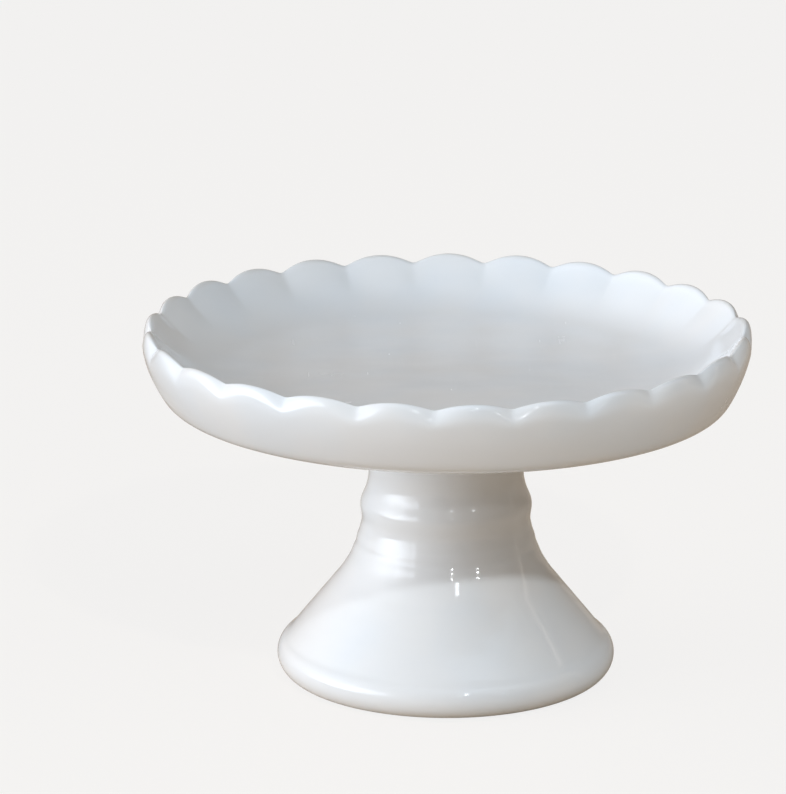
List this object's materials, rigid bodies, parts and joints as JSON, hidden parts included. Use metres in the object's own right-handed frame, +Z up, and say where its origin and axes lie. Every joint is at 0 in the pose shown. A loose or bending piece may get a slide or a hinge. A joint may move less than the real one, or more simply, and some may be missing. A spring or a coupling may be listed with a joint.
{
  "type": "cake stand",
  "caption": "White glazed pedestal cake stand: a round dish with a scalloped rim on a hollow bell-shaped foot with a beaded neck.",
  "frame": {"origin": "middle of the ring that the foot stands on", "axes": "+Z up along the turning axis of the foot and dish; the scallops repeat every 14.4 degrees round it"},
  "size_m": [0.2196, 0.2196, 0.1301],
  "materials": {
    "dish_glaze": "gloss",
    "foot_glaze": "gloss",
    "slip_glaze": "gloss"
  },
  "bodies": {
    "root": {"plate": "dish_glaze", "pedestal": "foot_glaze", "luting_slip": "slip_glaze"}
  },
  "joints": []
}
